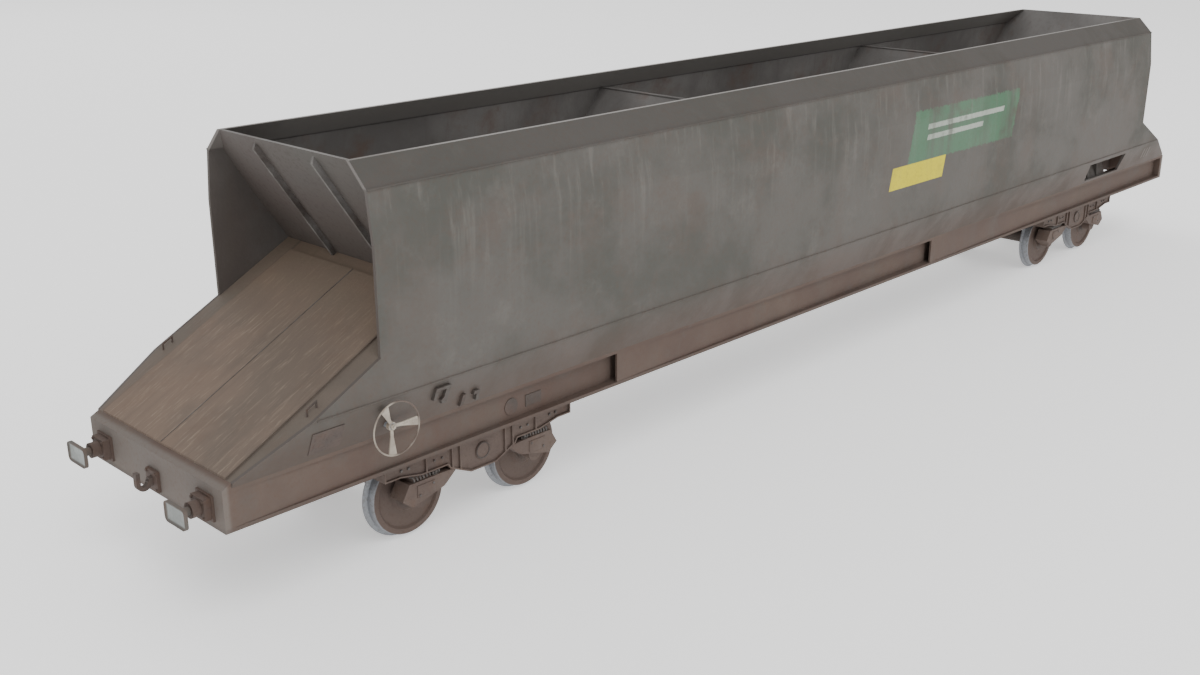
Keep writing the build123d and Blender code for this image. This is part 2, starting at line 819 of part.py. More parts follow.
# ---- bogies ----
boss_radius = 4.0
boss_top_z = bolster_bottom_z - pivot_gap
box_inner_y = wheel_outer_y + 0.7
box_outer_y = 22.9
box_bore_depth_y = 20.8
journal_end_y = box_bore_depth_y - 0.2
bearing_radius = 2.1
frame_half = [
    (frame_half_length, frame_top_z),
    (frame_half_length, frame_end_z),
    (23.4, frame_end_z),
    (17.5, frame_arm_z),
    (frame_shoulder_x, frame_arm_z),
    (9.7, 15.8),
    (frame_belly_half, frame_belly_z),
]
axlebox_face = [(-3.7, 15.6), (-5.7, 12.1), (-3.0, 10.0), (6.0, 12.3), (9.7, 15.4), (6.0, 15.6)]
frame_outline = frame_half + [(-x, z) for x, z in reversed(frame_half)]
frame_inner_y = frame_outer_y - frame_web
frame_rim_y = frame_outer_y + frame_flange

with BuildPart() as bogie_frame:
    for side in sides.values():
        with BuildSketch(side_plane(side, frame_inner_y)):
            add(flat_shape(frame_outline, Plane.XY))
        extrude(amount=-side * frame_web)
        with BuildSketch(side_plane(side, frame_outer_y)):
            add(flat_shape(frame_outline, Plane.XY))
            offset(
                flat_shape(frame_outline, Plane.XY),
                amount=-frame_rim,
                kind=Kind.INTERSECTION,
                mode=Mode.SUBTRACT,
            )
        extrude(amount=-side * frame_flange)
        stiffener = (side * frame_outer_y, side * frame_rim_y)
        for end in ends.values():
            for x, foot in ((6.7, frame_belly_z + 1.4), (9.0, 15.6), (16.3, frame_arm_z)):
                box((end * x - 0.2, end * x + 0.2), stiffener, (foot, frame_top_z))
            beam = (end * (frame_half_length - end_beam), end * frame_half_length)
            box(beam, (0, side * frame_inner_y), (frame_end_z, frame_top_z - 0.4))
        rod((0, side * frame_outer_y, 17.1), 2.1, 0.5, (0, 1, 0))
        box((-transom_half, transom_half), (0, side * frame_inner_y), (transom_bottom_z, frame_top_z))
    rod((0, 0, (frame_top_z + boss_top_z) / 2), boss_radius, boss_top_z - frame_top_z, (0, 0, 1))
    bore_length = 2 * (boss_top_z - transom_bottom_z)
    rod((0, 0, boss_top_z), pivot_radius + running_fit, bore_length, (0, 0, 1), Mode.SUBTRACT)

with BuildPart() as axleboxes:
    for side in sides.values():
        for end in ends.values():
            axle_x = end * wheelbase / 2
            kite = [(axle_x - end * x, z) for x, z in axlebox_face]
            with BuildSketch(side_plane(side, box_inner_y)):
                add(flat_shape(kite, Plane.XY))
            extrude(amount=-side * (box_outer_y - box_inner_y))
            crown = (axle_x - end * 2.2, axle_x + end * 2.4)
            box(crown, (side * (box_inner_y + 1.0), side * (box_outer_y - 0.5)), (15.0, frame_arm_z))
            bearing = (box_inner_y + box_bore_depth_y + 0.6) / 2
            rod(
                (axle_x, side * bearing, axle_z),
                bearing_radius,
                box_bore_depth_y + 0.6 - box_inner_y,
                (0, 1, 0),
            )
            rod(
                (axle_x, side * box_inner_y, axle_z),
                journal_radius + running_fit,
                2 * (box_bore_depth_y - box_inner_y),
                (0, 1, 0),
                Mode.SUBTRACT,
            )
    extrude(flat_shape(frame_outline), amount=half_width, both=True, mode=Mode.SUBTRACT)

spring_foot_z = 15.6
spring_length = frame_arm_z - spring_foot_z
coil = spring_length / (2 * spring_turns - 1)
with BuildPart() as springs:
    for side in sides.values():
        for end in ends.values():
            spot_x = end * (wheelbase / 2 - 4.0)
            spot_y = side * (frame_outer_y - 1.3)
            rod((spot_x, spot_y, spring_foot_z + spring_length / 2), 0.95, spring_length, (0, 0, 1))
            for turn in range(spring_turns):
                turn_z = spring_foot_z + (2 * turn + 0.5) * coil
                rod((spot_x, spot_y, turn_z), spring_radius, coil, (0, 0, 1))


def wheel(side):
    """Profile through one wheel: distance from the axle, then distance from the centre line."""
    inner = wheel_inner_y
    outer = wheel_outer_y
    root = inner + flange_width
    tip = tread_radius + flange_depth
    web_in = wheel_seat_radius + 1.0
    web_out = tread_radius - 1.3
    outline = [
        (wheel_seat_radius, inner),
        (web_in, inner),
        (web_in + wheel_web_recess, inner + wheel_web_recess),
        (web_out - wheel_web_recess, inner + wheel_web_recess),
        (web_out, inner),
        (tip - 0.25, inner),
        (tip, inner + 0.25),
        (tip, root - 0.4),
        (tread_radius, root),
        (tread_radius, outer - 0.2),
        (tread_radius - 0.2, outer),
        (web_out, outer),
        (web_out - wheel_web_recess, outer - wheel_web_recess),
        (web_in + wheel_web_recess, outer - wheel_web_recess),
        (web_in, outer),
        (wheel_seat_radius, outer),
    ]
    return [(r, side * y) for r, y in outline]


with BuildPart() as wheel_pair:
    for side in sides.values():
        revolve(flat_shape(wheel(side), Plane.XY), axis=Axis.Y)

with BuildPart() as axle:
    rod((0, 0, 0), axle_radius, 2 * wheel_inner_y, (0, 1, 0))
    rod((0, 0, 0), journal_radius, 2 * journal_end_y, (0, 1, 0))
    for side in sides.values():
        seat_y = side * (wheel_inner_y + wheel_outer_y + 0.3) / 2
        rod((0, seat_y, 0), wheel_seat_radius, wheel_width + 0.3, (0, 1, 0))


def placed(part, x, z=0):
    with BuildPart() as copy:
        with Locations((x, 0, z)):
            add(part.part)
    return copy


for word, end in ends.items():
    centre = end * bogie_x
    finish(placed(bogie_frame, centre), f"bogie_{word}_frame")
    finish(placed(axleboxes, centre), f"bogie_{word}_axleboxes")
    finish(placed(springs, centre), f"bogie_{word}_springs")
    for axle_word, step in (("outer", end), ("inner", -end)):
        x = centre + step * wheelbase / 2
        finish(placed(axle, x, axle_z), f"bogie_{word}_{axle_word}_axle")
        finish(placed(wheel_pair, x, axle_z), f"bogie_{word}_{axle_word}_wheels")
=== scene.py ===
"""Finishes and fine detail for the model bogie hopper wagon.

Everything is in metres in the frame of the solid model: X along the wagon with the
buffer end at -X, Z up from the wheel flange tips.
"""
import math

import bmesh
import bpy
from mathutils import Matrix, Vector, noise


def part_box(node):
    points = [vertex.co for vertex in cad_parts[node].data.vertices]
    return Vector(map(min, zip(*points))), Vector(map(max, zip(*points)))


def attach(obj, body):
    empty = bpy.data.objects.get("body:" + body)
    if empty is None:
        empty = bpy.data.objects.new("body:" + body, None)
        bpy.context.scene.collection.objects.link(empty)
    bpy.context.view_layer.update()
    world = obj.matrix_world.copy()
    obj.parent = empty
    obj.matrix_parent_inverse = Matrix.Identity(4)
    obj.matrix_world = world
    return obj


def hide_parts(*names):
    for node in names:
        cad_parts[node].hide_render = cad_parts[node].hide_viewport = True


bl_info = {
    "name": "Hopper Wagon",
    "version": (1, 0, 0),
    "blender": (4, 5, 0),
    "location": "View3D > Sidebar > Hopper Wagon",
    "description": "Finishes and fine detail for a model bogie hopper wagon",
    "category": "Object",
}

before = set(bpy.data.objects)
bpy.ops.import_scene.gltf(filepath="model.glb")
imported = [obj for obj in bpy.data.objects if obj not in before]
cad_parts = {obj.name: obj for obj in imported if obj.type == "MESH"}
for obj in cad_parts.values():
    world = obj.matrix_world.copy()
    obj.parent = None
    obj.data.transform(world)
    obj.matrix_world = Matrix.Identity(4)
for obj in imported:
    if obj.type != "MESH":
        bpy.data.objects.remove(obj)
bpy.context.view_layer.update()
ROOT = "wagon_body"
SIDES = {"left": -1, "right": 1}
ENDS = {"near": -1, "far": 1}
BAYS = ("near", "middle", "far")

# Places on the hopper sides
KINK_Y, KINK_Z = 0.02880, 0.0832  # upper bend
FOLD_Y, FOLD_Z = 0.03025, 0.0407  # lower bend
FOLD_REACH = 0.1965  # half the length of the weld at the lower bend
WELD_SEED = 5  # keeps the welds' unevenness the same on every run

# Painted panels on the sides: where they are, their half sizes and how ragged their edges are
LIVERY_SLANT = 0.22  # how far a panel leans along the wagon for each unit of height
GREEN_PANEL = {
    "Centre_X": 0.0450, "Centre_Z": 0.0664, "Half_Length": 0.0315, "Half_Height": 0.0076,
    "Fray": 0.0030,
}
YELLOW_PANEL = {
    "Centre_X": 0.0181, "Centre_Z": 0.0556, "Half_Length": 0.0148, "Half_Height": 0.0033,
    "Fray": 0.0002,
}
BAR_PLACES = ((0.0450, 0.0688, 0.0230), (0.0385, 0.0656, 0.0165))  # centre X and Z, half length
BAR_HALF_HEIGHT = 0.0008
BAR_FRAY = 0.0005
END_MARK_XS = (0.1894, 0.1918, 0.1942)
END_MARK = {
    "Centre_Z": 0.0362, "Half_Length": 0.0005, "Half_Height": 0.0021, "Slant": -0.35,
    "Fray": 0.0004,
}

# Places on the end decks
DECK_PLATE_EDGE = 0.0242  # long edges of the raised plates
DECK_TOP_X = 0.16480  # upper end of the middle seam

# Buffer centres
BUFFER_Y, BUFFER_Z = 0.01985, 0.0265

# Bogie distances: X from the bogie's middle, Y from the centre line, Z from the flange tips
AXLE_X = 0.0174
FRAME_FACE_Y = 0.0226
BOX_FACE_Y = 0.0228
COVER_FACE_Y = 0.0230
LINK_Y = 0.0221
FRAME_BOLT_PLACES = (
    # X, Z, share of the bolt radius
    (0.0210, 0.0195, 1.0),
    (0.0230, 0.0195, 1.0),
    (0.0117, 0.0190, 0.8),
    (0.0139, 0.0190, 0.8),
)
COVER_BOLT_PLACES = ((-0.0019, 0.0124), (0.0019, 0.0142))  # X from the cover's middle, and Z

# Studio
FLOOR_SIZE = 6.0
FLOOR_GLOW = 0.6
WORLD_STRENGTH = 0.75
LIGHT_TARGET = (0.0, 0.0, 0.04)
LIGHTS = (
    # name, place, size, power
    ("key", (-0.45, -0.70, 1.10), 0.9, 8.0),
    ("fill", (0.70, -1.10, 0.55), 1.1, 3.0),
    ("back", (0.20, 1.10, 0.90), 1.0, 4.5),
)
CAMERA_PLACE = (-0.32883, -0.23303, 0.14074)
CAMERA_YAW = 0.7667
CAMERA_PITCH = -0.3376
CAMERA_LENS = 39.995


# ---------------------------------------------------------------- settings

def colour(name, description, value):
    return bpy.props.FloatVectorProperty(
        name=name, description=description, subtype="COLOR", size=3, min=0.0, max=1.0,
        default=value,
    )


def length(name, description, value):
    return bpy.props.FloatProperty(
        name=name, description=description, unit="LENGTH", min=0.0, precision=5, default=value
    )


class WagonColours(bpy.types.PropertyGroup):
    side: colour("Side paint", "Weathered paint on the hopper sides", (0.097, 0.090, 0.081))
    side_green: colour("Side tint", "Greener patches in the side paint", (0.076, 0.076, 0.067))
    side_brown: colour("Side grime", "Brown grime on the hopper sides", (0.096, 0.078, 0.066))
    run_off: colour("Run-off", "Pale streaks left by rain", (0.200, 0.187, 0.170))
    top_band: colour("Top band", "Darker band above the upper bend", (0.071, 0.065, 0.059))
    # The rim colour is painted light: a paler colour inside, above the upper bend, that lifts a
    # band the lamps leave in shade.
    rim_painted_light: colour("Rim painted light", "Pale dust inside, above the upper bend", (0.300, 0.285, 0.270))
    # The wing colour is painted shade: it darkens the inner faces of the wings and the lower end
    # sheets.
    wing: colour("Wing painted shade", "Sheltered inner faces of the wings", (0.080, 0.065, 0.057))
    end_plate: colour("End plate", "Grey upper part of the end sheets", (0.095, 0.079, 0.072))
    sill: colour("Sill", "Rust-stained paint on the sills and headstocks", (0.089, 0.059, 0.047))
    sill_dust: colour("Sill dust", "Paler dust on the sills", (0.120, 0.088, 0.072))
    deck: colour("Deck", "Worn plate of the end decks", (0.169, 0.122, 0.092))
    deck_pale: colour("Deck scuffs", "Pale scuffs along the end decks", (0.273, 0.208, 0.151))
    inside: colour("Inside", "Plate inside the hopper", (0.112, 0.105, 0.100))
    inside_dust: colour("Inside dust", "Dust inside the hopper", (0.185, 0.176, 0.168))
    rust: colour("Rust", "Bare rust", (0.105, 0.052, 0.030))
    bogie: colour("Bogie", "Brake dust over the bogies", (0.094, 0.067, 0.056))
    bogie_dark: colour("Bogie shadow", "Darker dirt on the bogies", (0.070, 0.056, 0.049))
    tread: colour("Tread", "Worn steel of the wheel treads", (0.270, 0.285, 0.305))
    disc: colour("Wheel disc", "Wheel faces", (0.100, 0.070, 0.057))
    buffer_face: colour("Buffer face", "Rubbed faces of the buffers", (0.300, 0.325, 0.315))
    cream: colour("Handwheel", "Handwheel paint", (0.520, 0.470, 0.390))
    green_panel: colour("Green panel", "Green livery panel", (0.075, 0.190, 0.105))
    yellow_panel: colour("Yellow panel", "Yellow livery panel", (0.650, 0.560, 0.012))
    bars: colour("Bars", "Pale bars on the green panel", (0.480, 0.500, 0.450))
    floor: colour("Floor", "Studio floor", (0.90, 0.90, 0.90))


class WagonSizes(bpy.types.PropertyGroup):
    seam: length("Weld bead", "Radius of the long weld beads", 0.00022)
    cap: length("Ridge cap", "Radius of the bar along each ridge", 0.00035)
    bolt: length("Bogie bolt", "Radius of the bolt heads on the bogies", 0.00034)
    link: length("Link wire", "Radius of the suspension link wire", 0.00022)


# ---------------------------------------------------------------- meshes

def new_piece(name, bm, materials, body, smooth=True):
    """Turn a finished bmesh into a piece that rides on a body."""
    bmesh.ops.remove_doubles(bm, verts=bm.verts, dist=1e-7)
    bmesh.ops.recalc_face_normals(bm, faces=bm.faces)
    mesh = bpy.data.meshes.new(name)
    bm.to_mesh(mesh)
    bm.free()
    for material in materials:
        mesh.materials.append(material)
    if smooth:
        mesh.set_sharp_from_angle(angle=math.radians(35))
    piece = bpy.data.objects.new(name, mesh)
    bpy.context.scene.collection.objects.link(piece)
    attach(piece, body)
    return piece


def block(bm, low, high, bevel=0.0):
    """A block between two corners; bevel is the size of its rounded edges."""
    low = Vector(low)
    high = Vector(high)
    made = bmesh.ops.create_cube(bm, size=1.0)["verts"]
    bmesh.ops.scale(bm, vec=[abs(v) for v in (high - low)], verts=made)
    bmesh.ops.translate(bm, vec=(low + high) / 2, verts=made)
    if bevel:
        edges = list({e for v in made for e in v.link_edges})
        bmesh.ops.bevel(
            bm, geom=edges, offset=bevel, segments=2, profile=0.5, affect="EDGES", material=-1
        )


def rod(bm, start, end, radius, sides=12, tip=None):
    """A round bar between two points; tip is the radius at its far end."""
    start = Vector(start)
    end = Vector(end)
    turn = (end - start).to_track_quat("Z", "Y").to_matrix().to_4x4()
    bmesh.ops.create_cone(
        bm, cap_ends=True, cap_tris=False, segments=sides, radius1=radius,
        radius2=radius if tip is None else tip, depth=(end - start).length,
        matrix=Matrix.Translation((start + end) / 2) @ turn,
    )


def ring(bm, centre, axis, radius, wire, steps=40, sides=8):
    """A closed ring of round wire about an axis."""
    axis = Vector(axis).normalized()
    out = axis.orthogonal().normalized()
    turn = Matrix((out, axis, out.cross(axis))).transposed().to_4x4()
    place = Matrix.Translation(Vector(centre) + out * radius) @ turn
    made = bmesh.ops.create_circle(bm, cap_ends=False, segments=sides, radius=wire, matrix=place)
    edges = list({e for v in made["verts"] for e in v.link_edges})
    bmesh.ops.spin(
        bm, geom=edges, cent=centre, axis=axis, angle=math.tau, steps=steps, use_merge=True,
        dvec=(0, 0, 0),
    )


def coil(bm, start, end, radius, wire, turns, sides=6, steps=14):
    """A wire coil between two points, with a number of steps to each turn."""
    start = Vector(start)
    axis = Vector(end) - start
    out = axis.orthogonal().normalized()
    direction = axis.normalized()
    turn = Matrix((out, direction, out.cross(direction))).transposed().to_4x4()
    place = Matrix.Translation(start + out * radius) @ turn
    made = bmesh.ops.create_circle(bm, cap_ends=True, segments=sides, radius=wire, matrix=place)
    faces = list({f for v in made["verts"] for f in v.link_faces})
    bmesh.ops.spin(
        bm, geom=faces, cent=start, axis=direction, angle=math.tau * turns,
        steps=steps * turns, dvec=axis / (steps * turns), use_duplicate=False,
    )


# ---------------------------------------------------------------- shader helpers

class Shader:
    """Adds nodes to one tree and joins them."""

    def __init__(self, tree):
        self.tree = tree

    def add(self, kind, settings=None, **inputs):
        node = self.tree.nodes.new(kind)
        for key, value in (settings or {}).items():
            setattr(node, key, value)
        for key, value in inputs.items():
            self.put(node, key.replace("_", " "), value)
        return node

    def put(self, node, key, value):
        """Set or join one input, found by its name or its number."""
        socket = node.inputs[key]
        if isinstance(value, bpy.types.NodeSocket):
            self.tree.links.new(value, socket)
        elif socket.type == "RGBA" and len(value) == 3:
            socket.default_value = (*value, 1.0)
        else:
            socket.default_value = value

    def mix(self, factor, first, second):
        """Blend of two colours; the numbers are the colour sockets of a Mix node."""
        node = self.add("ShaderNodeMix", {"data_type": "RGBA"})
        for index, value in ((0, factor), (6, first), (7, second)):
            self.put(node, index, value)
        return node.outputs[2]

    def math(self, operation, first, second=0.0):
        node = self.add("ShaderNodeMath", {"operation": operation})
        self.put(node, 0, first)
        self.put(node, 1, second)
        return node.outputs[0]

    def times(self, first, second):
        return self.math("MULTIPLY", first, second)

    def ramp(self, value, low, high, out_low=0.0, out_high=1.0):
        """Value between two limits, stretched to run from out_low to out_high."""
        node = self.add("ShaderNodeMapRange", {"interpolation_type": "SMOOTHSTEP"})
        for index, number in enumerate((value, low, high, out_low, out_high)):
            self.put(node, index, number)
        return node.outputs[0]

    def noise(self, vector, scale, detail=4.0, rough=0.6, distortion=0.0):
        node = self.add(
            "ShaderNodeTexNoise", Vector=vector, Scale=scale, Detail=detail,
            Roughness=rough, Distortion=distortion,
        )
        return node.outputs["Fac"]

    def shift(self, vector, by):
        return self.add("ShaderNodeMapping", Vector=vector, Location=by).outputs[0]

    def split(self, vector):
        """The X, Y and Z of a vector."""
        return self.add("ShaderNodeSeparateXYZ", Vector=vector).outputs

    def group(self, tree, **inputs):
        node = self.tree.nodes.new("ShaderNodeGroup")
        node.node_tree = tree
        for key, value in inputs.items():
            self.put(node, key.replace("_", " "), value)
        return node.outputs


def new_group(name, inputs, outputs):
    """An empty node group with named sockets: its tree, its Shader and what it is given."""
    tree = bpy.data.node_groups.new(name, "ShaderNodeTree")
    for label, kind in inputs:
        tree.interface.new_socket(name=label, in_out="INPUT", socket_type=kind)
    for label, kind in outputs:
        tree.interface.new_socket(name=label, in_out="OUTPUT", socket_type=kind)
    return tree, Shader(tree), tree.nodes.new("NodeGroupInput").outputs


def close_group(tree, **outputs):
    """Join values to a node group's outputs."""
    target = tree.nodes.new("NodeGroupOutput")
    for key, value in outputs.items():
        tree.links.new(value, target.inputs[key.replace("_", " ")])


VECTOR = "NodeSocketVector"
FLOAT = "NodeSocketFloat"


def grime_group():
    """Patches of dirt, fine speckle and a bump height."""
    found = bpy.data.node_groups.get("Grime")
    if found:
        return found
    tree, s, given = new_group(
        "Grime",
        [("Vector", VECTOR), ("Patch Scale", FLOAT), ("Speckle Scale", FLOAT)],
        [("Patches", FLOAT), ("Blotches", FLOAT), ("Speckle", FLOAT), ("Height", FLOAT)],
    )
    broad = s.noise(given["Vector"], given["Patch Scale"], 6.0, 0.62, 0.15)
    shifted = s.shift(given["Vector"], (0.37, 0.11, 0.53))
    other = s.noise(shifted, s.times(given["Patch Scale"], 2.7), 7.0, 0.68, 0.2)
    fine = s.noise(given["Vector"], given["Speckle Scale"], 3.0, 0.7)
    pits = s.add("ShaderNodeTexVoronoi", Vector=given["Vector"], Scale=given["Speckle Scale"])
    height = s.math("ADD", s.times(fine, 0.6), s.times(pits.outputs["Distance"], 0.4))
    close_group(
        tree, Patches=s.ramp(broad, 0.36, 0.66), Blotches=s.ramp(other, 0.50, 0.70),
        Speckle=s.ramp(fine, 0.45, 0.75), Height=height,
    )
    return tree


def streak_group():
    """Streaks drawn out along one axis by the stretch that is given."""
    found = bpy.data.node_groups.get("Streaks")
    if found:
        return found
    tree, s, given = new_group(
        "Streaks",
        [("Vector", VECTOR), ("Stretch", VECTOR), ("Scale", FLOAT)],
        [("Broad", FLOAT), ("Thin", FLOAT)],
    )
    drawn = s.add("ShaderNodeVectorMath", {"operation": "MULTIPLY"})
    s.put(drawn, 0, given["Vector"])
    s.put(drawn, 1, given["Stretch"])
    broad = s.noise(drawn.outputs[0], given["Scale"], 3.0, 0.55)
    thin = s.noise(drawn.outputs[0], s.times(given["Scale"], 3.6), 4.0, 0.65)
    close_group(tree, Broad=s.ramp(broad, 0.46, 0.70), Thin=s.ramp(thin, 0.50, 0.78))
    return tree


def panel_group():
    """A slanted flat panel on the XZ plane, with a ragged edge: 1 inside, 0 outside."""
    found = bpy.data.node_groups.get("Panel")
    if found:
        return found
    tree, s, given = new_group(
        "Panel",
        [("Vector", VECTOR), ("Centre X", FLOAT), ("Centre Z", FLOAT), ("Half Length", FLOAT),
         ("Half Height", FLOAT), ("Slant", FLOAT), ("Fray", FLOAT)],
        [("Mask", FLOAT)],
    )
    place = s.split(given["Vector"])
    wobble = s.math("SUBTRACT", s.noise(given["Vector"], 900.0, 5.0, 0.7), 0.5)
    ragged = s.times(wobble, given["Fray"])
    up = s.math("SUBTRACT", place["Z"], given["Centre Z"])
    along = s.math("SUBTRACT", place["X"], given["Centre X"])
    along = s.math("SUBTRACT", along, s.times(up, given["Slant"]))
    inside_x = s.math("SUBTRACT", given["Half Length"], s.math("ABSOLUTE", along))
    inside_z = s.math("SUBTRACT", given["Half Height"], s.math("ABSOLUTE", up))
    depth = s.math("ADD", s.math("MINIMUM", inside_x, inside_z), ragged)
    close_group(tree, Mask=s.ramp(depth, -0.00008, 0.00012))
    return tree


def start_material(name):
    """A material with its Shader, object coordinates and normal, or a found one and Nones."""
    found = bpy.data.materials.get(name)
    if found:
        return found, None, None, None
    material = bpy.data.materials.new(name)
    material.use_nodes = True
    tree = material.node_tree
    tree.nodes.clear()
    s = Shader(tree)
    where = s.add("ShaderNodeTexCoord")
    return material, s, where.outputs["Object"], where.outputs["Normal"]


def end_material(s, base, roughness, height, bump=0.3, distance=0.0001, metallic=0.0):
    """Join a finish to the surface."""
    bumped = s.add("ShaderNodeBump", Strength=bump, Distance=distance, Height=height)
    body = s.add(
        "ShaderNodeBsdfPrincipled", Base_Color=base, Roughness=roughness,
        Metallic=metallic, Normal=bumped.outputs[0],
    )
    body.inputs["Specular IOR Level"].default_value = 0.35
    out = s.add("ShaderNodeOutputMaterial")
    s.tree.links.new(body.outputs[0], out.inputs["Surface"])


def pick(name):
    """A colour from the panel."""
    return tuple(getattr(bpy.context.scene.wagon_colours, name))


def paint_node(node, material):
    """Give a node of the solid model its finish."""
    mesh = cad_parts[node].data
    mesh.materials.clear()
    mesh.materials.append(material)


# ---------------------------------------------------------------- finishes

def outside_mask(s, where, facing):
    """1 on faces that look away from the wagon's centre line, 0 on those that look in."""
    return s.ramp(s.times(s.split(where)["Y"], s.split(facing)["Y"]), 0.0, 0.002)


def inside_colour(s, where):
    """Dusty dark plate, with brown runs and rust blotches."""
    grime = s.group(grime_group(), Vector=where, Patch_Scale=22.0, Speckle_Scale=900.0)
    runs = s.group(streak_group(), Vector=where, Stretch=(1.0, 1.0, 0.08), Scale=160.0)
    base = s.mix(grime["Patches"], pick("inside"), pick("inside_dust"))
    base = s.mix(s.times(runs["Thin"], 0.35), base, pick("side_brown"))
    base = s.mix(s.times(grime["Blotches"], 0.45), base, pick("rust"))
    return base, grime


def panel_mask(s, where, **panel):
    """1 on one painted panel, 0 elsewhere."""
    return s.group(panel_group(), Vector=where, **panel)["Mask"]


def side_material():
    """Hopper sides: mottled paint outside with livery panels, dark plate inside."""
    material, s, where, facing = start_material("side_paint")
    if s is None:
        return material
    place = s.split(where)
    z = place["Z"]
    grime = s.group(grime_group(), Vector=where, Patch_Scale=26.0, Speckle_Scale=1100.0)
    runs = s.group(streak_group(), Vector=where, Stretch=(1.0, 1.0, 0.07), Scale=105.0)
    base = s.mix(grime["Patches"], pick("side"), pick("side_green"))
    base = s.mix(s.times(grime["Blotches"], 0.7), base, pick("side_brown"))
    wash = s.ramp(s.noise(where, 75.0, 8.0, 0.72), 0.52, 0.72, 0.0, 0.20)
    base = s.mix(wash, base, pick("run_off"))
    below_kink = s.times(s.ramp(z, 0.0835, 0.0825), s.ramp(z, 0.046, 0.080))
    pale = s.times(s.times(runs["Thin"], below_kink), 0.38)
    dark_runs = s.times(s.times(runs["Broad"], s.ramp(z, 0.090, 0.050)), 0.35)
    base = s.mix(dark_runs, base, pick("side_brown"))

    green = panel_mask(s, where, Slant=LIVERY_SLANT, **GREEN_PANEL)
    yellow = panel_mask(s, where, Slant=LIVERY_SLANT, **YELLOW_PANEL)
    bars = [
        panel_mask(
            s, where, Centre_X=centre_x, Centre_Z=centre_z, Half_Length=half_length,
            Half_Height=BAR_HALF_HEIGHT, Slant=LIVERY_SLANT, Fray=BAR_FRAY,
        )
        for centre_x, centre_z, half_length in BAR_PLACES
    ]
    chips = s.ramp(s.math("ADD", grime["Blotches"], runs["Broad"]), 0.1, 1.3, 0.72, 0.22)
    paler = s.mix(0.35, pick("green_panel"), pick("side"))
    faded = s.mix(runs["Broad"], pick("green_panel"), paler)
    base = s.mix(s.times(green, chips), base, faded)
    for bar in bars:
        base = s.mix(s.times(bar, chips), base, pick("bars"))
    dirty_yellow = s.mix(0.25, pick("yellow_panel"), pick("side_brown"))
    fresh = s.mix(s.times(grime["Patches"], 0.8), pick("yellow_panel"), dirty_yellow)
    base = s.mix(s.times(yellow, s.ramp(chips, 0.2, 0.7, 0.8, 0.98)), base, fresh)
    base = s.mix(pale, base, pick("run_off"))

    above_kink = s.ramp(z, 0.0826, 0.0836)
    top_band = s.times(above_kink, s.ramp(grime["Patches"], 0.0, 1.0, 0.9, 0.6))
    base = s.mix(top_band, base, pick("top_band"))
    # Browner towards the bottom, below the lower bend: partly dirt, partly painted shade on the
    # sill that slopes inward under the bend.
    low_band = s.times(s.ramp(z, 0.046, 0.032), 0.55)
    base = s.mix(low_band, base, pick("sill"))
    # A dark line along each bend: a dark weld joint along the upper bend, and painted shade in the
    # crease along the lower bend.
    for seam_z in (KINK_Z, FOLD_Z):
        near = s.ramp(s.math("ABSOLUTE", s.math("SUBTRACT", z, seam_z)), 0.0009, 0.0001)
        dark = s.times(near, s.ramp(grime["Speckle"], 0.0, 1.0, 0.25, 0.7))
        base = s.mix(dark, base, pick("bogie_dark"))
    base = s.mix(s.times(grime["Speckle"], 0.18), base, pick("rust"))

    for centre_x in END_MARK_XS:
        slash = panel_mask(s, where, Centre_X=centre_x, **END_MARK)
        base = s.mix(s.times(slash, 0.45), base, pick("run_off"))

    inner, _ = inside_colour(s, where)
    # Painted light: paler inside above the upper bend, where the band faces down into shade.
    inner = s.mix(s.ramp(z, 0.0829, 0.0835, 0.0, 0.8), inner, pick("rim_painted_light"))
    # Painted shade on the inner faces of the wings, deeper lower down.
    wing_shade = s.ramp(s.math("ABSOLUTE", place["X"]), 0.158, 0.176, 0.0, 0.85)
    inner = s.mix(s.times(wing_shade, s.ramp(z, 0.088, 0.060, 0.55, 1.0)), inner, pick("wing"))
    base = s.mix(outside_mask(s, where, facing), inner, base)
    rough = s.ramp(grime["Patches"], 0.0, 1.0, 0.62, 0.86)
    dents = s.noise(where, 32.0, 2.0, 0.5)
    height = s.math("ADD", s.times(dents, 5.0), grime["Height"])
    end_material(s, base, rough, height, bump=0.35, distance=0.00012)
    return material


def inside_material():
    """Ridges, ridge caps, chutes and doors."""
    material, s, where, _ = start_material("hopper_plate")
    if s is None:
        return material
    base, grime = inside_colour(s, where)
    rough = s.ramp(grime["Speckle"], 0.0, 1.0, 0.7, 0.92)
    end_material(s, base, rough, grime["Height"], bump=0.4)
    return material


def end_sheet_material():
    """End sheets: greyer on the outer face, which the wings shelter."""
    material, s, where, facing = start_material("end_plate")
    if s is None:
        return material
    inner, grime = inside_colour(s, where)
    place = s.split(where)
    look = s.split(facing)
    outer = s.ramp(s.times(place["X"], look["X"]), 0.0, 0.01)
    grey = s.mix(grime["Patches"], pick("end_plate"), pick("side"))
    # Darker towards the bottom of the outer face: painted shade in the wing colour, blotched with
    # brown grime.
    low = s.ramp(place["Z"], 0.084, 0.058, 0.0, 0.9)
    grey = s.mix(low, grey, s.mix(grime["Blotches"], pick("wing"), pick("side_brown")))
    base = s.mix(outer, inner, grey)
    rough = s.ramp(grime["Speckle"], 0.0, 1.0, 0.68, 0.9)
    end_material(s, base, rough, grime["Height"], bump=0.4)
    return material


